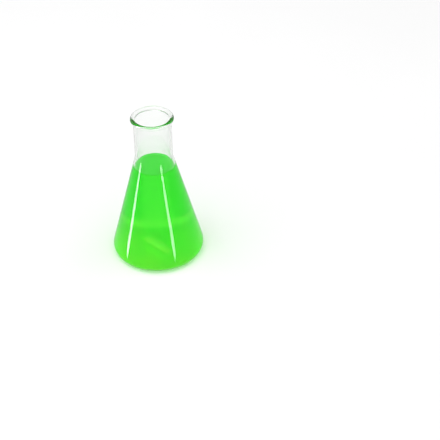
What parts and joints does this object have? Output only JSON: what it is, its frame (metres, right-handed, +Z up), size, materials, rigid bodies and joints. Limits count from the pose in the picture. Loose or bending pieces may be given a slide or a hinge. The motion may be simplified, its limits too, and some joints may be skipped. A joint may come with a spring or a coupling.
{
  "type": "conical flask",
  "caption": "Narrow-neck conical laboratory flask of clear glass with a rolled rim, holding a green solution and a magnetic stir bar on its floor.",
  "frame": {"origin": "centre of the resting ring under the flask, on the surface that the flask stands on", "axes": "+Z up the flask's axis through the neck; the flask is a solid of revolution, and at rest the stir bar lies in the floor plane, 63 degrees clockwise from +X seen from above"},
  "size_m": [0.085, 0.085, 0.145],
  "materials": {
    "glass": "polished",
    "green_solution": "gloss",
    "ptfe": "satin",
    "magnet": "satin"
  },
  "bodies": {
    "flask": {"flask_body": "glass", "liquid": "green_solution"},
    "stir_bar": {"stir_bar_jacket": "ptfe", "stir_bar_magnet": "magnet"}
  },
  "joints": [
    {"name": "stir_bar_spin", "type": "hinge", "parent": "flask", "child": "stir_bar", "pos_m": [0, 0, 0.0068], "axis": [0, 0, 1], "continuous": true}
  ]
}
